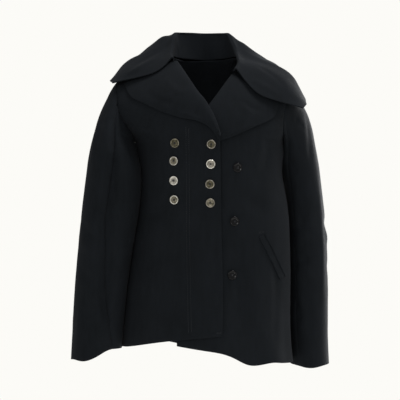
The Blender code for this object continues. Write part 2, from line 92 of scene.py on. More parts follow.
def wool(name, deep, worn, bloom):
    """Melton. deep and worn are the nap's darkest and most rubbed colours, and bloom is how
    strongly its fibres catch the light edge on."""
    made, tree = blank(name)
    place = add(tree, "ShaderNodeTexCoord").outputs["Object"]
    tufts = add(tree, "ShaderNodeTexNoise", {"Scale": TUFTS, "Detail": 3.0, "Roughness": 0.7},
                {"Vector": place})
    brushed = add(tree, "ShaderNodeMapping", {"Scale": DOWNWARDS}, {"Vector": place})
    streaks = add(tree, "ShaderNodeTexNoise", {"Scale": STREAKS, "Detail": 4.0, "Roughness": 0.6},
                  {"Vector": brushed.outputs["Vector"]})
    patches = add(tree, "ShaderNodeTexNoise", {"Scale": PATCHES, "Detail": 2.0, "Roughness": 0.5},
                  {"Vector": place})
    # the shade is three tenths the tufts, four tenths the streaks and three tenths the patches
    mixed = add(tree, "ShaderNodeMath", {"operation": "MULTIPLY", 1: 0.3},
                {0: tufts.outputs["Fac"]})
    for share, pattern in ((0.4, streaks), (0.3, patches)):
        mixed = add(tree, "ShaderNodeMath", {"operation": "MULTIPLY_ADD", 1: share},
                    {0: pattern.outputs["Fac"], 2: mixed.outputs[0]})
    colour = ramp(tree, mixed.outputs[0], (0.36, linear(deep)), (0.64, linear(worn)))
    bump = add(tree, "ShaderNodeBump", {"Strength": 0.5, "Distance": 0.0006},
               {"Height": tufts.outputs["Fac"]})
    rough = add(tree, "ShaderNodeMapRange", {"To Min": 0.78, "To Max": 1.0},
                {"Value": streaks.outputs["Fac"]})
    shader = add(tree, "ShaderNodeBsdfPrincipled", {
        "IOR": 1.45, "Specular IOR Level": 0.08, "Sheen Weight": bloom, "Sheen Roughness": 0.45,
        "Sheen Tint": linear("C9CCD4"),
    }, {"Base Color": colour, "Roughness": rough.outputs["Result"],
        "Normal": bump.outputs["Normal"]})
    add(tree, "ShaderNodeOutputMaterial", links={"Surface": shader.outputs["BSDF"]})
    return made


melton = wool("black_wool_melton", "131619", "1A1D21", 0.03)

# ---------------------------------------------------------------------------------------------
# Body: a back and two fronts of melton, each one panel from the shoulder to the hem, sewn at the
# shoulders and down the sides. The right front laps over the left one and holds a strip with the
# buttonholes under it. It hangs from the shoulder blades and the chest in shallow flutes.

MM = 0.001                 # sizes and places of cloth and buttons are in mm, meshes in metres
WALL_AT_MOST = 3.0         # the faces of a solid's cut edges are narrower than this
CUT_EDGE = 60.0            # degrees: a wall turns more sharply than this at its edges
FITTINGS = 6               # times that a sheet is drawn back onto the corners it is rounded off


def take_up(piece):
    """Selects a piece, and nothing else, for operators to work on."""
    bpy.ops.object.select_all(action="DESELECT")
    piece.select_set(True)
    bpy.context.view_layer.objects.active = piece


def keep_outer_face(mesh, bend):
    """Parts a solid's mesh into sheets, and keeps the largest. Two faces are on one sheet where
    both are wide, or where the edge between them bends less than this, in degrees."""
    work = bmesh.new()
    work.from_mesh(mesh)
    wide = set()
    for face in work.faces:
        if face.calc_area() > WALL_AT_MOST * MM * max(edge.calc_length() for edge in face.edges):
            wide.add(face)
    left, sheets = set(work.faces), []
    while left:
        todo = [left.pop()]
        sheet = set(todo)
        while todo:
            for edge in todo.pop().edges:
                if wide.issuperset(edge.link_faces) or edge.calc_face_angle(0) < radians(bend):
                    found = left.intersection(edge.link_faces)
                    left -= found
                    sheet |= found
                    todo += found
        sheets.append(sheet)
    outer = max(sheets, key=lambda sheet: sum(face.calc_area() for face in sheet))
    bmesh.ops.delete(work, geom=[f for f in work.faces if f not in outer], context="FACES")
    work.to_mesh(mesh)
    work.free()


def cut_cloth(node, levels=3, bend=CUT_EDGE):
    """A smooth sheet through the corners of a solid's outer face. Its wall comes last."""
    piece = bpy.data.objects.new("wool_" + node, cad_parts[node].data.copy())
    bpy.context.scene.collection.objects.link(piece)
    take_up(piece)
    bpy.ops.object.mode_set(mode="EDIT")
    bpy.ops.mesh.select_all(action="SELECT")
    bpy.ops.mesh.remove_doubles(threshold=0.05 * MM)
    bpy.ops.mesh.tris_convert_to_quads(face_threshold=radians(50), shape_threshold=radians(120))
    bpy.ops.object.mode_set(mode="OBJECT")
    keep_outer_face(piece.data, bend)
    rounding = piece.modifiers.new("rounding", "SUBSURF")
    rounding.boundary_smooth = "PRESERVE_CORNERS"
    rounding.levels = rounding.render_levels = 1
    goal = points_of(piece)
    for _ in range(FITTINGS):
        smooth = piece.evaluated_get(bpy.context.evaluated_depsgraph_get())
        reached = points_of(smooth)[:len(goal)]
        move_points(piece, points_of(piece) + goal - reached)
    rounding.levels = rounding.render_levels = levels
    bpy.ops.object.modifier_apply(modifier="rounding")
    piece.data.shade_smooth()
    piece.data.materials.clear()
    piece.data.materials.append(melton)
    return piece


def points_of(piece):
    """The places of a mesh's points, one row each."""
    points = np.empty(len(piece.data.vertices) * 3)
    piece.data.vertices.foreach_get("co", points)
    return points.reshape(-1, 3)


def move_points(piece, points):
    """Puts a mesh's points in new places."""
    piece.data.vertices.foreach_set("co", points.ravel())
    piece.data.update()


def border_of(piece):
    """The points on a sheet's border, by number, and for each the two that it is joined to."""
    mesh = piece.data
    uses = np.zeros(len(mesh.loops), int)
    mesh.loops.foreach_get("edge_index", uses)
    counts = np.bincount(uses, minlength=len(mesh.edges))
    joined = {}
    for k in np.nonzero(counts == 1)[0]:
        a, b = mesh.edges[int(k)].vertices
        joined.setdefault(a, []).append(b)
        joined.setdefault(b, []).append(a)
    return joined


BESIDE = 0.5               # cosine of the most that the runs of two edges of one seam differ by
LETS_GO = 0.25             # the share of its reach over which a seam ends
seam_points = []           # where cloth has been sewn together


def eased(share):
    """0 to 1, with a smooth start and end."""
    return share * share * (3 - 2 * share)


def sew(piece, onto, reach, blend, edge=None):
    """Draws the border of a sheet, or one edge of it, onto the borders of others that run beside
    it within reach, in mm, and the cloth within the blend along with it."""
    lines = []
    for other in onto:
        points, joined = points_of(other), border_of(other)
        lines += [(Vector(points[a]), [Vector(points[b]) for b in ends])
                  for a, ends in joined.items()]
    finder = KDTree(len(lines))
    for k, (spot, _) in enumerate(lines):
        finder.insert(spot, k)
    finder.balance()
    points = points_of(piece)
    moves = {}
    for k, (before, after) in border_of(piece).items():
        here = Vector(points[k])
        _, nearest, gap = finder.find(here)
        spot, ends = lines[nearest]
        run = Vector(points[after] - points[before]).normalized()
        beside = abs(run.dot((ends[1] - ends[0]).normalized())) > BESIDE
        if gap > reach * MM or not (k in edge if edge else beside):
            continue
        best = spot
        for end in ends:
            along = end - spot
            share = min(max((here - spot).dot(along) / along.length_squared, 0.0), 1.0)
            if (spot + along * share - here).length < (best - here).length:
                best = spot + along * share
        fade = min((reach * MM - gap) / (LETS_GO * reach * MM), 1.0)
        moves[k] = (best - here) * fade
        seam_points.append(here + moves[k])
    finder = KDTree(len(moves))
    for k in moves:
        finder.insert(points[k], k)
    finder.balance()
    for k, here in enumerate(points.copy()):
        _, nearest, gap = finder.find(here)
        if gap < blend * MM:
            points[k] = here + np.array(moves[nearest]) * eased(1 - gap / (blend * MM))
    move_points(piece, points)


def solid_tree(*nodes):
    """The frame's own solids, to draw lines on."""
    points, faces = [], []
    for node in nodes:
        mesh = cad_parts[node].data
        faces += [tuple(v + len(points) for v in p.vertices) for p in mesh.polygons]
        points += [v.co.copy() for v in mesh.vertices]
    return BVHTree.FromPolygons(points, faces)


# where a line is drawn from: its two axes, and the way into the cloth
SIDES = {
    "front": (0, 2, Vector((0, 1, 0))),
    "back": (0, 2, Vector((0, -1, 0))),
    "right": (1, 2, Vector((1, 0, 0))),
    "left": (1, 2, Vector((-1, 0, 0))),
}
LINE_STEP = 3.0            # between the points of a line drawn on cloth


def drawn_line(tree, side, corners, step=LINE_STEP):
    """Points of the cloth along a smooth line through corners, in mm, seen from a side, and the
    ways out of the cloth there."""
    first, second, inward = SIDES[side]
    corners = np.array(corners, float)
    spots, outs = [], []
    lengths = np.r_[0, np.cumsum(np.linalg.norm(np.diff(corners, axis=0), axis=1))]
    count = max(int(lengths[-1] / step), 2)
    for at in np.linspace(0, lengths[-1], count + 1):
        i = min(int(np.searchsorted(lengths, at, side="right")) - 1, len(corners) - 2)
        t = (at - lengths[i]) / (lengths[i + 1] - lengths[i])
        a, b = corners[i], corners[i + 1]
        slope_a = (b - corners[max(i - 1, 0)]) / 2
        slope_b = (corners[min(i + 2, len(corners) - 1)] - a) / 2
        here = ((1 + 2 * t) * (1 - t) ** 2 * a + t * (1 - t) ** 2 * slope_a
                + t * t * (3 - 2 * t) * b + t * t * (t - 1) * slope_b)
        start = -inward
        start[first], start[second] = here * MM
        spot, normal, _, _ = tree.ray_cast(start, inward)
        if spot is not None:
            spots.append(spot)
            outs.append(normal)
    return spots, outs


BANK = 0.35                # how much of the cloth that a fold pushes down rises beside it
FOLD_ENDS = 0.3            # the share of a fold's length over which it fades at each end
UNEVEN = 0.18              # how much a fold's depth wavers along it
AT_ONCE = 4000             # points of cloth measured together, which keeps memory small


def fold(pieces, tree, side, depth, width, corners, bank=BANK):
    """A soft trough along a line, in mm: the cloth it pushes down rises in banks beside it.
    A depth below 0 raises a ridge. It fades out at its ends."""
    spots, outs = drawn_line(tree, side, corners)
    if len(spots) < 2:
        return
    line, ways = np.array(spots), np.array(outs)
    along = np.linspace(0, 1, len(line))
    end = np.minimum(np.minimum(along, 1 - along) / FOLD_ENDS, 1)
    # it wavers about one and a half times, and each fold starts elsewhere in its wave
    strength = eased(end) * (1 + UNEVEN * np.sin(9.0 * along + 40 * line[0, 0]))
    reach = 3 * width * MM
    for piece in pieces:
        points = points_of(piece)
        near = np.all((points > line.min(0) - reach) & (points < line.max(0) + reach), axis=1)
        index = np.nonzero(near)[0]
        for part in np.array_split(index, len(index) // AT_ONCE + 1):
            gaps = points[part][:, None, :] - line[None, :, :]
            far = np.einsum("ijk,ijk->ij", gaps, gaps)
            closest = far.argmin(1)
            share = np.sqrt(far[np.arange(len(part)), closest]) / (width * MM)
            profile = (1 - bank * share ** 2) * np.exp(-share ** 2)
            points[part] -= ways[closest] * (depth * MM * profile * strength[closest])[:, None]
        move_points(piece, points)


def pull(pieces, spot, radius, by):
    """Draws the cloth round a spot, all in mm, with one soft tug."""
    for piece in pieces:
        points = points_of(piece)
        share = np.linalg.norm(points - np.array(spot) * MM, axis=1) / (radius * MM)
        move_points(piece, points + np.array(by) * MM * np.exp(-share ** 2)[:, None])


back = cut_cloth("back")
front_left = cut_cloth("front_left")
front_right = cut_cloth("front_right")
for front in (front_left, front_right):
    sew(front, [back], reach=3.5, blend=9)
body = [back, front_left, front_right]

# the back's hem draws up behind the right front, so that it hardly shows below it
pull([back], spot=(-84, 100, -600), radius=44, by=(0, 0, 11))

back_solid = solid_tree("back")
for depth, width, corners in (
    (3.0, 20, [(-60, -110), (-72, -200), (-66, -330), (-80, -470)]),
    (-2.5, 22, [(-20, -90), (-16, -240), (-24, -420), (-22, -560)]),
    (3.0, 22, [(52, -120), (66, -230), (58, -360), (74, -540)]),
    (2.4, 13, [(-132, -150), (-98, -176), (-62, -186)]),
    (-1.8, 11, [(-128, -172), (-92, -198), (-58, -204)]),
    (2.2, 12, [(138, -160), (104, -182), (70, -186)]),
    (-1.6, 11, [(132, -186), (98, -204), (66, -206)]),
    (1.8, 15, [(-110, -300), (-60, -316), (-10, -312), (44, -320)]),
    (-1.5, 14, [(-84, -334), (-20, -340), (50, -344), (104, -330)]),
    (1.6, 16, [(96, -290), (130, -300), (146, -318)]),
):
    fold(body, back_solid, "back", depth, width, corners)

fronts_solid = solid_tree("front_left", "front_right")
FRONT_FOLDS = (
    (3.2, 15, [(62, -360), (64, -430), (66, -500), (70, -570)]),
    (-3.0, 17, [(98, -400), (102, -470), (106, -540), (108, -600)]),
    (2.4, 15, [(140, -380), (143, -450), (140, -520), (138, -590)]),
    (-1.4, 10, [(118, -150), (108, -190), (92, -225)]),
    (1.6, 12, [(130, -175), (118, -220), (96, -255)]),
    (1.4, 14, [(60, -262), (90, -290), (128, -300)]),
    (-1.2, 12, [(56, -292), (92, -318), (134, -326)]),
    (-2.6, 5, [(-99, -118), (-104, -129), (-110, -139)]),
    (3.0, 7, [(-112, -128), (-116, -136), (-123, -146)]),
    (-2.2, 5, [(-122, -120), (-123, -131), (-125, -142)]),
    (2.6, 14, [(-68, -360), (-66, -430), (-66, -500), (-70, -560)]),
    (-2.4, 16, [(-98, -300), (-100, -380), (-104, -470), (-110, -560)]),
    (2.4, 15, [(-128, -340), (-132, -420), (-138, -500), (-142, -570)]),
    (1.5, 13, [(-70, -300), (-96, -316), (-126, -318)]),
    (-1.2, 12, [(-66, -262), (-92, -280), (-120, -284)]),
)
for depth, width, corners in FRONT_FOLDS:
    fold(body, fronts_solid, "front", depth, width, corners)
# pressed in by the stitches of the hidden strip, and by the iron
for depth, width, corners in (
    (0.7, 2.2, [(-38, -150), (-37, -260), (-36, -400), (-33, -548)]),
    (0.7, 2.2, [(-32, -150), (-31, -260), (-30, -400), (-27, -548)]),
    (1.2, 4.0, [(18.5, -350), (18.5, -420), (18, -496)]),
):
    fold([front_right], fronts_solid, "front", depth, width, corners, bank=0.0)

# ---------------------------------------------------------------------------------------------
# Sleeves: each of an upper and an under half of melton, set into the armhole. The arms hang a
# little bent, so the cloth breaks across at the elbow's front and drags at the armpit.

ARMHOLES_END = -300.0      # every armhole is above this height
ELSEWHERE = 2.5            # a border this far from the partner's isn't on the seam with it
SEAM_SUNK = 0.6            # depth of the groove along a seam
SEAM_WIDTH = 2.4           # half its width
SEAM_SIDES = 3.0           # the borders on both sides of a seam are within this of it
SWELL = 55.0               # size of the slow swells in worn cloth
SEWN = 5.0                 # an edge within this of a seam is sewn down, so it isn't worn
CLOTH = 2.2                # thickness of the melton
WORN = 0.6                 # radius to which its cut and turned edges are worn


def top_edge(half, partner):
    """The points on the border of a sleeve's half that lie on the armhole, and not on the seams
    to its partner."""
    joined, points = border_of(partner), points_of(partner)
    finder = KDTree(len(joined))
    for k in joined:
        finder.insert(points[k], k)
    finder.balance()
    points = points_of(half)
    return {k for k in border_of(half)
            if finder.find(points[k])[2] > ELSEWHERE * MM and points[k][2] > ARMHOLES_END * MM}


def seam_finder():
    """A tree that finds the sewn point nearest to a place."""
    finder = KDTree(len(seam_points))
    for k, spot in enumerate(seam_points):
        finder.insert(spot, k)
    finder.balance()
    return finder


def ways_out(piece):
    """The vertices' normals."""
    normals = np.empty(len(piece.data.vertices) * 3)
    piece.data.vertex_normals.foreach_get("vector", normals)
    return normals.reshape(-1, 3)


def sink_seams(pieces):
    """A sewn edge is drawn in by its stitches, so a seam lies in a soft groove. The sheets on
    both its sides go the same way, which keeps it shut."""
    seams, edges, ways = seam_finder(), [], []
    for piece in pieces:
        points, outs = points_of(piece), ways_out(piece)
        for k in border_of(piece):
            edges.append(points[k])
            ways.append(outs[k])
    finder = KDTree(len(edges))
    for k, spot in enumerate(edges):
        finder.insert(spot, k)
    finder.balance()
    for piece in pieces:
        points = points_of(piece)
        for k, here in enumerate(points.copy()):
            spot, _, gap = seams.find(here)
            if gap > 3 * SEAM_WIDTH * MM:
                continue
            near = [ways[n] for _, n, _ in finder.find_range(spot, SEAM_SIDES * MM)]
            if near:
                share = gap / (SEAM_WIDTH * MM)
                points[k] = here - np.mean(near, 0) * SEAM_SUNK * MM * np.exp(-share ** 2)
        move_points(piece, points)


def lived_in(piece, height):
    """Cloth is never quite even: slow swells, in mm, that run on across the seams."""
    points = points_of(piece)
    for k, here in enumerate(points.copy()):
        spot = Vector(here) / (SWELL * MM)
        # with smaller swells on them, half as high
        swell = noise.noise(spot) + 0.5 * noise.noise(spot * 2.5)
        # the body and the arms are wider than deep, so depth counts for more in the way out
        away = Vector((here[0], here[1] * 1.5, 0.0)).normalized()
        points[k] = here + np.array(away) * swell * height * MM
    move_points(piece, points)


def give_wall(piece, thickness=CLOTH):
    """The cloth's thickness, and the worn edges where it isn't sewn to other cloth."""
    wall = piece.modifiers.new("wall", "SOLIDIFY")
    wall.thickness, wall.offset = thickness * MM, -1
    take_up(piece)
    bpy.ops.object.modifier_apply(modifier="wall")
    finder = seam_finder()
    work = bmesh.new()
    work.from_mesh(piece.data)
    weight = work.edges.layers.float.new("bevel_weight_edge")
    for edge in work.edges:
        middle = (edge.verts[0].co + edge.verts[1].co) / 2
        if edge.calc_face_angle(0) > radians(CUT_EDGE) and finder.find(middle)[2] > SEWN * MM:
            edge[weight] = 1.0
    work.to_mesh(piece.data)
    work.free()
    worn = piece.modifiers.new("worn", "BEVEL")
    worn.width, worn.segments = WORN * MM, 2
    worn.limit_method = "WEIGHT"
    bpy.ops.object.modifier_apply(modifier="worn")
    piece.data.shade_smooth()


def dress(piece, flat, area, rests_on, with_pieces=()):
    """Hides the frame's part that a finished piece of cloth takes the place of, and hangs the
    piece from the root. The size that it was cut to, in metres and square metres, is not used."""
    node = piece.name.removeprefix("wool_")
    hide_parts(node)
    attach(piece, "root")


# degrees: the left under half turns more sharply at the armpit than any other cloth here
ARMPIT_BEND = 76.0
right_sleeve = [cut_cloth("sleeve_under_right"), cut_cloth("sleeve_upper_right")]
left_sleeve = [cut_cloth("sleeve_under_left", bend=ARMPIT_BEND), cut_cloth("sleeve_upper_left")]
for under, upper in (right_sleeve, left_sleeve):
    sew(upper, [under], reach=4, blend=10)
    for half, partner in ((under, upper), (upper, under)):
        sew(half, body, reach=16, blend=28, edge=top_edge(half, partner))
    sew(upper, [under], reach=4, blend=10)

right_arm = solid_tree("sleeve_under_right", "sleeve_upper_right")
left_arm = solid_tree("sleeve_under_left", "sleeve_upper_left")
for sleeve, arm, side, rows in (
    (right_sleeve, right_arm, "front", (
        (2.6, 10, [(-246, -330), (-232, -352), (-214, -360)]),
        (-2.0, 10, [(-250, -366), (-232, -384), (-216, -388)]),
        (2.2, 12, [(-252, -420), (-236, -440), (-222, -446)]),
        (1.8, 10, [(-200, -96), (-208, -140), (-214, -180)]),
        (-1.6, 9, [(-212, -120), (-222, -170), (-228, -220)]),
        (3.4, 13, [(-222, -478), (-228, -516), (-224, -552)]),
        (-2.2, 11, [(-244, -480), (-250, -530), (-252, -580)]),
        (1.6, 7, [(-168, -150), (-160, -164), (-146, -170)]),
        (-1.6, 7, [(-176, -176), (-162, -190), (-148, -198)]),
        (2.0, 9, [(-190, -246), (-172, -262), (-154, -268)]),
        (-1.8, 9, [(-194, -290), (-176, -306), (-158, -312)]),
        (2.2, 10, [(-196, -400), (-184, -420), (-168, -424)]),
    )),
    (right_sleeve, right_arm, "right", (
        (2.2, 13, [(-56, -318), (-32, -336), (-4, -330)]),
        (-1.8, 12, [(-52, -352), (-26, -366), (2, -358)]),
        (2.0, 13, [(-44, -420), (-20, -430), (4, -424)]),
    )),
    (right_sleeve, right_arm, "back", (
        (2.0, 12, [(-220, -300), (-196, -318), (-168, -322)]),
        (-1.6, 12, [(-224, -340), (-198, -356), (-170, -362)]),
        (1.8, 13, [(-206, -130), (-196, -180), (-190, -230)]),
    )),
    (left_sleeve, left_arm, "front", (
        (2.6, 11, [(176, -356), (194, -344), (206, -322)]),
        (-2.2, 10, [(180, -384), (200, -372), (218, -352)]),
        (3.0, 11, [(178, -420), (196, -418), (212, -404)]),
        (-2.0, 10, [(182, -448), (202, -446), (222, -434)]),
        (2.8, 12, [(180, -486), (192, -500), (196, -540)]),
        (1.8, 11, [(206, -470), (214, -520), (216, -580)]),
        (-1.8, 12, [(228, -200), (236, -300), (240, -400), (242, -520)]),
        (1.8, 12, [(206, -110), (212, -160), (216, -220)]),
        (1.4, 7, [(182, -120), (190, -132), (204, -138)]),
        (1.6, 8, [(168, -200), (180, -214), (186, -236)]),
    )),
    (left_sleeve, left_arm, "left", (
        (2.2, 13, [(20, -318), (46, -336), (74, -330)]),
        (-1.8, 12, [(24, -352), (50, -366), (78, -358)]),
        (2.0, 13, [(30, -420), (56, -430), (80, -424)]),
    )),
    (left_sleeve, left_arm, "back", (
        (2.0, 12, [(228, -300), (208, -318), (184, -322)]),
        (-1.6, 12, [(232, -340), (210, -356), (186, -362)]),
        (1.8, 13, [(206, -130), (202, -180), (200, -230)]),
    )),
):
    for depth, width, corners in rows:
        fold(sleeve, arm, side, depth, width, corners)

# the right sleeve sinks in along the front of the arm, and the left one lies up against the body
for sleeve, arm, depth, width, bank, corners in (
    (right_sleeve, right_arm, 8.0, 15, 0.15, [
        (-176, -130), (-184, -204), (-188, -270), (-193, -340), (-193, -420), (-194, -500),
        (-192, -545)]),
    (right_sleeve, right_arm, 4.0, 11, 0.0, [(-203, -466), (-200, -500), (-194, -532)]),
    (left_sleeve, left_arm, -4.5, 14, 0.0, [
        (176, -200), (184, -260), (190, -340), (194, -420), (196, -500), (197, -590)]),
):
    fold(sleeve, arm, "front", depth, width, corners, bank)

for pieces, spot, radius, by in (
    # the cloth of body and sleeve closes up below the armpits
    (right_sleeve, (-141, -22, -184), 26, (4.0, 0, 0)),
    (right_sleeve, (-143, -4, -168), 18, (3.0, 0, 0)),
    (body, (-138, 4, -190), 26, (-3.5, 0, 0)),
    (left_sleeve, (160, 14, -180), 24, (-4.0, 0, 0)),
    (body, (158, -2, -188), 24, (3.0, 0, 0)),
    # the right cuff tips up at its outer corner, and the left one hangs lower at the front
    (right_sleeve, (-262, -72, -615), 20, (0, 0, 2.6)),
    (left_sleeve, (216, -2, -626), 26, (0, 0, -5.5)),
):
    pull(pieces, spot, radius, by)

# folds and pulls part the edges a little, so the seams are sewn again
for under, upper in (right_sleeve, left_sleeve):
    for half, partner in ((under, upper), (upper, under)):
        sew(half, body, reach=14, blend=16, edge=top_edge(half, partner))
    sew(upper, [under], reach=9, blend=10)

sink_seams(body + right_sleeve + left_sleeve)
for piece in body + right_sleeve + left_sleeve:
    lived_in(piece, 0.6)
    give_wall(piece)

# each half's flat size and area
for (under, upper), rests_on, under_cut, upper_cut in (
    (right_sleeve, "wool_front_right", ((0.16, 0.52), 0.069), ((0.20, 0.59), 0.091)),
    (left_sleeve, "wool_front_left", ((0.14, 0.52), 0.0585), ((0.21, 0.61), 0.100)),
):
    dress(upper, *upper_cut, rests_on)
    dress(under, *under_cut, "wool_back")

# ---------------------------------------------------------------------------------------------
# Stitches: black polyester thread, which is a little shinier than the wool it lies on. Two rows
# hold the hidden strip, and short tacks hold its lower corner and the pocket's ends.

TWIST = 1800.0             # to the metre: 0.6 mm, as wide as the thread
STITCH_LENGTH = 2.9
STITCH_PITCH = 4.2
STITCH_WIDTH = 0.6
TACK_LENGTH = 1.5
TACK_PITCH = 1.6
ROD_SIDES = 5
# along a stitch: the share of its length, its girth as a share of its width, its height in mm
STITCH_RINGS = ((0.0, 0.25, -0.45), (0.16, 0.85, 0.1), (0.5, 1.0, 0.32), (0.84, 0.85, 0.1),
                (1.0, 0.25, -0.45))

thread, tree = blank("black_polyester_thread")
twist = add(tree, "ShaderNodeTexNoise", {"Scale": TWIST, "Detail": 2.0},
            {"Vector": add(tree, "ShaderNodeTexCoord").outputs["Object"]})
colour = ramp(tree, twist.outputs["Fac"], (0.3, linear("1C1D20")), (0.7, linear("34353A")))
shader = add(tree, "ShaderNodeBsdfPrincipled", {
    "Roughness": 0.5, "Specular IOR Level": 0.3,
}, {"Base Color": colour})
add(tree, "ShaderNodeOutputMaterial", links={"Surface": shader.outputs["BSDF"]})


def cloth_tree(piece):
    """A finished cloth, to draw lines on."""
    mesh = piece.data
    return BVHTree.FromPolygons([v.co.copy() for v in mesh.vertices],
                                [tuple(p.vertices) for p in mesh.polygons])


def stitches(name, cloth, rows, pitch=STITCH_PITCH, length=STITCH_LENGTH):
    """Rows of stitches on the front of a cloth, as one mesh. Each stitch is a short rod that
    sinks at its two ends."""
    points, faces = [], []
    for corners in rows:
        spots, outs = drawn_line(cloth, "front", corners, pitch / 4)
        for k in range(0, len(spots) - 4, 4):
            start, out = spots[k], outs[k]
            way = (spots[k + 4] - start).normalized()
            across = way.cross(out).normalized()
            first = len(points)
            for share, girth, height in STITCH_RINGS:
                middle = start + way * share * length * MM + out * height * MM
                for turn in range(ROD_SIDES):
                    angle = 2 * pi * turn / ROD_SIDES
                    points.append(middle + (across * cos(angle) + out * sin(angle))
                                  * girth * STITCH_WIDTH / 2 * MM)
            last = len(points) - ROD_SIDES
            for ring in range(first, last, ROD_SIDES):
                for turn in range(ROD_SIDES):
                    a, b = ring + turn, ring + (turn + 1) % ROD_SIDES
                    faces.append((a, b, b + ROD_SIDES, a + ROD_SIDES))
            faces.append(tuple(first + turn for turn in range(ROD_SIDES - 1, -1, -1)))
            faces.append(tuple(last + turn for turn in range(ROD_SIDES)))
    mesh = bpy.data.meshes.new(name)
    mesh.from_pydata(points, [], faces)
    mesh.shade_smooth()
    mesh.materials.append(thread)
    piece = bpy.data.objects.new(name, mesh)
    bpy.context.scene.collection.objects.link(piece)
    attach(piece, "root")
    return piece


right_cloth = cloth_tree(front_right)
placket_rows = stitches("stitches_placket", right_cloth, [
    [(-38, -142), (-37, -260), (-36, -400), (-33, -546)],
    [(-32.5, -146), (-31, -260), (-30, -400), (-27, -546)],
])
corner_tack = stitches("stitches_corner_tack", right_cloth, [
    [(22, -547), (33, -546)], [(22, -549), (33, -548)],
], TACK_PITCH, TACK_LENGTH)
pocket_tacks = stitches("stitches_pocket_tacks", cloth_tree(front_left), [
    [(107, -351), (118, -350)], [(107, -353), (118, -352)],
    [(148, -441), (159, -440)], [(148, -443), (159, -442)],
], TACK_PITCH, TACK_LENGTH)

dress(back, (0.42, 0.66), 0.262, "wool_collar")
dress(front_left, (0.32, 0.66), 0.158, "wool_back", [pocket_tacks])
dress(front_right, (0.30, 0.64), 0.138, "wool_back", [placket_rows, corner_tack])

# ---------------------------------------------------------------------------------------------
# Lapels: the fronts' facings, of the same melton, turned back along the roll line and pressed
# only lightly, so that the fold stays round.

for node, rests_on, length, rows in (
    ("lapel_right", "wool_front_right", 0.24, (
        (-1.4, 7, [(-62, -112), (-30, -122), (-2, -136), (18, -154)]),
        (1.4, 9, [(-120, -66), (-92, -88), (-60, -98)]),
        (-1.0, 9, [(-86, -40), (-66, -62), (-36, -84)]),
    )),
    ("lapel_left", "wool_front_left", 0.22, (
        (-1.4, 7, [(46, -158), (70, -150), (100, -134)]),
        (1.4, 9, [(60, -84), (92, -104), (120, -110)]),
        (-1.0, 9, [(52, -66), (70, -92), (94, -118)]),
    )),
):
    lapel = cut_cloth(node)
    lapel_solid = solid_tree(node)
    for depth, width, corners in rows:
        fold([lapel], lapel_solid, "front", depth, width, corners)
    lived_in(lapel, 0.4)
    give_wall(lapel)
    dress(lapel, (0.13, length), 0.0175, rests_on)

# ---------------------------------------------------------------------------------------------
# Collar: two layers of melton on a stand that is sewn round the neckline. It falls over the
# shoulders nearly to the sleeves.

COLLAR_CLOTH = 2.4         # thickness of its two layers where they show, pressed together

collar = cut_cloth("collar")
collar_solid = solid_tree("collar")
for side, depth, width, corners in (
    ("front", -1.6, 8, [(-98, 4), (-130, -16), (-160, -34)]),
    ("front", 1.4, 9, [(-84, 22), (-120, 2), (-150, -18)]),
    ("front", 1.4, 9, [(104, -14), (134, -34), (164, -64)]),
    ("front", -1.4, 9, [(84, -40), (120, -60), (160, -84)]),
    ("back", 1.6, 14, [(-90, 10), (-60, -10), (-52, -40)]),
    ("back", -1.4, 14, [(20, 20), (14, -10), (22, -44)]),
    ("back", 1.4, 13, [(96, 0), (80, -20), (76, -50)]),
):
    fold([collar], collar_solid, side, depth, width, corners)
# its right half is drawn up near the neck and lies flatter beyond, and its left half rolls low
for spot, radius, by in (
    ((-88, 42, 45), 17, (0, 0, 7)),
    ((-133, 38, 20), 20, (2, 0, -4.5)),
    ((118, 42, 18), 30, (-2, 0, -5.5)),
):
    pull([collar], spot, radius, by)
lived_in(collar, 0.5)
give_wall(collar, COLLAR_CLOTH)
dress(collar, (0.62, 0.21), 0.0875, "wool_back")

# ---------------------------------------------------------------------------------------------
# Pocket: a narrow welt of melton, set slanting into the left front, its ends tacked down. It
# takes the front's folds, and the iron has sunk it into the front.

WELT_WALL = 1.0            # thinner than its cloth, as little of it stands out from the front
WELT_SUNK = 1.5

welt = cut_cloth("pocket_welt_left", levels=2)
for depth, width, corners in FRONT_FOLDS:
    fold([welt], fronts_solid, "front", depth, width, corners)
lived_in(welt, 0.6)
move_points(welt, points_of(welt) - ways_out(welt) * WELT_SUNK * MM)
give_wall(welt, WELT_WALL)
dress(welt, (0.016, 0.092), 0.00146, "wool_front_left")

# ---------------------------------------------------------------------------------------------
# Metal buttons: cast in a pale brass alloy and tumbled, since rubbed bright or dark with oxide.
# A raised rim stands round a sunk field with four holes, sewn on with a cross of thread.

TARNISH = 210.0            # patches of tarnish to the metre: 5 mm wide
GRAIN = 1500.0             # the fine grain that tumbling leaves: 0.7 mm
DISC = 1.2                 # thickness of a button's plain disc
DISC_BACK = 0.5            # how far its back stands off the cloth, on its thread
TURNED_EDGE = 0.22         # how round its turned steps are
HOLE = 0.95                # radius of the dark ring at each hole: no hole is cut, so the ring is partly thread over its edge and partly painted shade of its well
HOLE_EDGE = 0.22           # and the ring's own roundness
THREAD = 0.42              # radius of the thread through the holes
THREAD_LIFT = 0.3          # from the holes to the first thread, and from that to the second


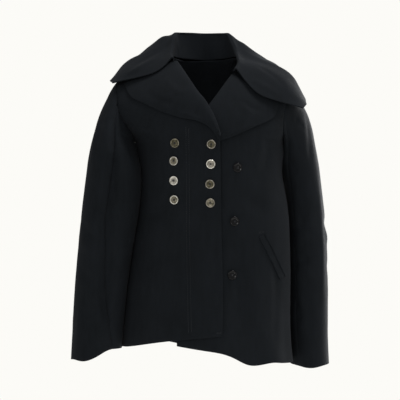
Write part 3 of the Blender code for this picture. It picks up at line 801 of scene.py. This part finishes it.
def cast_brass(name, deep, pale, rough):
    """Brass with patches of tarnish from deep to pale, and the fine grain of tumbling."""
    made, tree = blank(name)
    place = add(tree, "ShaderNodeTexCoord").outputs["Object"]
    tarnish = add(tree, "ShaderNodeTexNoise", {"Scale": TARNISH, "Detail": 4.0}, {"Vector": place})
    colour = ramp(tree, tarnish.outputs["Fac"], (0.35, linear(deep)), (0.62, linear(pale)))
    grain = add(tree, "ShaderNodeTexNoise", {"Scale": GRAIN, "Detail": 2.0}, {"Vector": place})
    bump = add(tree, "ShaderNodeBump", {"Strength": 0.25, "Distance": 0.0003},
               {"Height": grain.outputs["Fac"]})
    shader = add(tree, "ShaderNodeBsdfPrincipled", {"Metallic": 1.0, "Roughness": rough},
                 {"Base Color": colour, "Normal": bump.outputs["Normal"]})
    add(tree, "ShaderNodeOutputMaterial", links={"Surface": shader.outputs["BSDF"]})
    return made


rubbed_brass = cast_brass("rubbed_pale_brass", "B7B3A6", "EDEAE2", 0.34)
pale_brass = cast_brass("pale_cast_brass", "98948A", "D6D2C8", 0.34)
worn_brass = cast_brass("worn_brass", "6A675F", "A09A8E", 0.42)
olive_brass = cast_brass("oxidised_brass", "4E4B3C", "928C7C", 0.5)
dark_brass = cast_brass("dark_oxidised_brass", "383629", "676250", 0.5)


def turned_button(name, radius, steps, field, materials):
    """A disc whose top is stepped by insets: each step is how far in, and how far up, in mm.
    Its second material is for the field inside a radius."""
    bpy.ops.object.select_all(action="DESELECT")
    bpy.ops.mesh.primitive_cylinder_add(vertices=48, radius=radius * MM, depth=DISC * MM,
                                        location=(0, 0, (DISC_BACK + DISC / 2) * MM))
    piece = bpy.context.object
    piece.name = name
    bpy.ops.object.transform_apply(location=True)
    bpy.ops.object.mode_set(mode="EDIT")
    work = bmesh.from_edit_mesh(piece.data)
    for face in work.faces:
        face.select_set(face.normal.z > 0.99)
    bmesh.update_edit_mesh(piece.data)
    for inset, rise in steps:
        bpy.ops.mesh.inset(thickness=inset * MM, depth=rise * MM)
    bpy.ops.object.mode_set(mode="OBJECT")
    soft = piece.modifiers.new("soft", "BEVEL")
    soft.width, soft.segments = TURNED_EDGE * MM, 2
    soft.limit_method = "ANGLE"
    soft.angle_limit = radians(25)
    bpy.ops.object.modifier_apply(modifier="soft")
    for material in materials:
        piece.data.materials.append(material)
    for face in piece.data.polygons:
        inside = face.center.to_2d().length < field * MM
        face.material_index = int(inside and face.normal.z > 0.5)
    bpy.ops.object.shade_smooth_by_angle(angle=radians(35))
    return piece


def thread_and_hole_shade(name, spread, height):
    """Four holes, not cut, each a ring of dark thread that is partly the thread over its edge and
    partly painted shade of its well, with thread crossing between them.
    """
    pieces = []
    # the rings: in the thread's dark colour, partly thread and partly painted shade of the holes'
    # wells
    for quarter in range(4):
        angle = pi / 4 + quarter * pi / 2
        bpy.ops.object.select_all(action="DESELECT")
        bpy.ops.mesh.primitive_torus_add(
            major_segments=16, minor_segments=6, major_radius=HOLE * MM,
            minor_radius=HOLE_EDGE * MM,
            location=(cos(angle) * spread * MM, sin(angle) * spread * MM, height * MM))
        bpy.ops.object.transform_apply(location=True)
        pieces.append(bpy.context.object)
    for angle, lift in ((pi / 4, 2 * THREAD_LIFT), (-pi / 4, THREAD_LIFT)):
        bpy.ops.object.select_all(action="DESELECT")
        bpy.ops.mesh.primitive_cylinder_add(
            vertices=8, radius=THREAD * MM, depth=2 * spread * MM,
            location=(0, 0, (height + lift) * MM), rotation=(0, pi / 2, angle))
        bpy.ops.object.transform_apply(location=True, rotation=True)
        pieces.append(bpy.context.object)
    take_up(pieces[0])
    for piece in pieces:
        piece.data.materials.append(thread)
        piece.select_set(True)
    bpy.ops.object.join()
    pieces[0].name = name
    pieces[0].data.shade_smooth()
    return pieces[0]


def seat(node):
    """Where a button of the frame lies: its middle, and the way that its face looks."""
    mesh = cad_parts[node].data
    points = np.array([v.co[:] for v in mesh.vertices])
    middle = points.mean(0)
    _, _, axes = np.linalg.svd(points - middle)
    out = Vector(axes[2])
    out = -out if out.y > 0 else out
    back = ((points - middle) @ np.array(out)).min()
    return Vector(middle) + out * back, out


def sewn_on(master, name, node, turn, tilt):
    """A copy of a button, or of its sewing with the rings of painted hole shade, put where the
    frame has the button. It is turned about its middle and tilted by its thread, in degrees."""
    copy = bpy.data.objects.new(name, master.data.copy())
    bpy.context.scene.collection.objects.link(copy)
    middle, out = seat(node)
    copy.data.transform(
        Matrix.Translation(middle) @ out.to_track_quat("Z", "Y").to_matrix().to_4x4()
        @ Matrix.Rotation(radians(tilt[0]), 4, "X") @ Matrix.Rotation(radians(tilt[1]), 4, "Y")
        @ Matrix.Rotation(radians(turn), 4, "Z"))
    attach(copy, "root")
    return copy


metal = turned_button(
    "metal_button", radius=9.0, field=6.7, materials=(rubbed_brass, pale_brass),
    steps=((0.5, 0.5), (1.4, 0.15), (0.55, -1.0), (1.9, 0.0), (0.4, 0.25), (0.5, 0.0)))
# the thread that sews it on, with dark rings at its holes that are partly painted shade
metal_thread_and_hole_shade = thread_and_hole_shade("metal_thread_and_hole_shade", spread=1.7, height=1.9)
# turned anyhow, tilted a little by their threads, and tarnished unevenly
METAL_BUTTONS = (
    (12, (5, 4), olive_brass, dark_brass),
    (64, (1, -2), pale_brass, olive_brass),
    (31, (-1, 1), rubbed_brass, pale_brass),
    (80, (2, 2), rubbed_brass, olive_brass),
    (45, (-3, 2), worn_brass, dark_brass),
    (5, (0, 0), rubbed_brass, worn_brass),
    (70, (2, -3), worn_brass, dark_brass),
    (25, (3, 1), worn_brass, olive_brass),
)
for number, (turn, tilt, rim, field) in enumerate(METAL_BUTTONS, 1):
    node = f"metal_button_{number}"
    button = sewn_on(metal, f"brass_button_{number}", node, turn, tilt)
    button.data.materials[0] = rim
    button.data.materials[1] = field
    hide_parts(node)
    sewn_on(metal_thread_and_hole_shade, f"brass_button_thread_and_hole_shade_{number}", node, turn, tilt)
for master in (metal, metal_thread_and_hole_shade):
    bpy.data.objects.remove(master, do_unlink=True)

# ---------------------------------------------------------------------------------------------
# Black buttons: turned from black polyester resin and polished, with a broad rim, a dished
# middle and four holes. They close the jacket, so they stand on a thread shank.

SCUFFS = 700.0             # to the metre: 1.4 mm

resin, tree = blank("black_polyester_resin")
place = add(tree, "ShaderNodeTexCoord").outputs["Object"]
scuffs = add(tree, "ShaderNodeTexNoise", {"Scale": SCUFFS, "Detail": 4.0}, {"Vector": place})
rough = add(tree, "ShaderNodeMapRange", {"To Min": 0.06, "To Max": 0.12},
            {"Value": scuffs.outputs["Fac"]})
colour = ramp(tree, scuffs.outputs["Fac"], (0.4, linear("09090B")), (0.8, linear("101012")))
shader = add(tree, "ShaderNodeBsdfPrincipled", {"IOR": 1.5, "Specular IOR Level": 0.22},
             {"Base Color": colour, "Roughness": rough.outputs["Result"]})
add(tree, "ShaderNodeOutputMaterial", links={"Surface": shader.outputs["BSDF"]})

black = turned_button(
    "black_button", radius=9.5, field=0, materials=(resin,),
    steps=((0.7, 0.9), (1.2, 0.25), (1.3, -0.7), (1.2, -0.35), (1.0, -0.05)))
# the thread that sews it on, with dark rings at its holes that are partly painted shade
black_thread_and_hole_shade = thread_and_hole_shade("black_thread_and_hole_shade", spread=1.6, height=2.2)
for number, (turn, tilt) in enumerate(((20, (4, -3)), (50, (3, 2)), (75, (0, 0))), 1):
    node = f"black_button_{number}"
    button = sewn_on(black, f"resin_button_{number}", node, turn, tilt)
    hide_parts(node)
    sewn_on(black_thread_and_hole_shade, f"resin_button_thread_and_hole_shade_{number}", node, turn, tilt)
for master in (black, black_thread_and_hole_shade):
    bpy.data.objects.remove(master, do_unlink=True)

# ---------------------------------------------------------------------------------------------
# Studio: a round sheet of pale paper far under the jacket, in a pale room. A broad soft lamp
# stands behind it on the wearer's left, another hangs over that shoulder, and two weak ones in
# front fill the shade and give the buttons their glints.

# in metres, but for the camera's sensor
FLOOR_Z = -1.25
FLOOR_RADIUS = 3.0
TOOTH = 40.0               # patches of the paper's tooth to the metre
LAMPS_LOOK_AT = Vector((0, 0, -0.25))
CAMERA_DISTANCE = 3.2
CAMERA_X = -0.01025
CAMERA_Z = -0.287          # level with the middle of the jacket
VIEW_WIDTH = 0.82          # what the camera takes in at the middle of the jacket
SENSOR_WIDTH = 36

paper, tree = blank("pale_paper")
place = add(tree, "ShaderNodeTexCoord").outputs["Object"]
tooth = add(tree, "ShaderNodeTexNoise", {"Scale": TOOTH, "Detail": 2.0}, {"Vector": place})
colour = ramp(tree, tooth.outputs["Fac"], (0.3, linear("FBFAF6")), (0.7, linear("FDFCF8")))
shader = add(tree, "ShaderNodeBsdfPrincipled", {"Roughness": 0.9, "Specular IOR Level": 0.1},
             {"Base Color": colour})
add(tree, "ShaderNodeOutputMaterial", links={"Surface": shader.outputs["BSDF"]})

bpy.ops.object.select_all(action="DESELECT")
bpy.ops.mesh.primitive_circle_add(vertices=96, radius=FLOOR_RADIUS, fill_type="NGON",
                                  location=(0, 0, FLOOR_Z))
floor = bpy.context.object
floor.name = "paper_floor"
floor.data.materials.append(paper)

world = bpy.data.worlds.new("studio")
bpy.context.scene.world = world
world.use_nodes = True
tree = world.node_tree
tree.nodes.clear()
walls = add(tree, "ShaderNodeBackground", {"Color": linear("FFFEFB"), "Strength": 0.46})
paper_wall = add(tree, "ShaderNodeBackground", {"Color": linear("FCFBF7"), "Strength": 1.0})
seen = add(tree, "ShaderNodeMixShader", links={
    0: add(tree, "ShaderNodeLightPath").outputs["Is Camera Ray"],
    1: walls.outputs[0], 2: paper_wall.outputs[0]})
add(tree, "ShaderNodeOutputWorld", links={"Surface": seen.outputs[0]})

for name, stands, power, size in (
    ("key", (1.9, 2.2, 0.2), 128, 1.3),
    ("top", (1.0, -0.05, 2.5), 60, 1.0),
    ("front", (-0.5, -2.6, 0.6), 9, 0.8),
    ("low", (-0.1, -2.2, -1.15), 1.6, 0.12),
):
    lamp = bpy.data.lights.new(name, "AREA")
    lamp.energy, lamp.size = power, size
    holder = bpy.data.objects.new(name, lamp)
    bpy.context.scene.collection.objects.link(holder)
    holder.location = stands
    way = LAMPS_LOOK_AT - Vector(stands)
    holder.rotation_euler = way.to_track_quat("-Z", "Y").to_euler()

eye = bpy.data.cameras.new("camera")
eye.sensor_width = SENSOR_WIDTH
eye.lens = SENSOR_WIDTH * CAMERA_DISTANCE / VIEW_WIDTH
camera = bpy.data.objects.new("camera", eye)
bpy.context.scene.collection.objects.link(camera)
camera.location = (CAMERA_X, -CAMERA_DISTANCE, CAMERA_Z)
camera.rotation_euler = (radians(90), 0, 0)
bpy.context.scene.camera = camera
bpy.context.scene.view_settings.view_transform = "Standard"
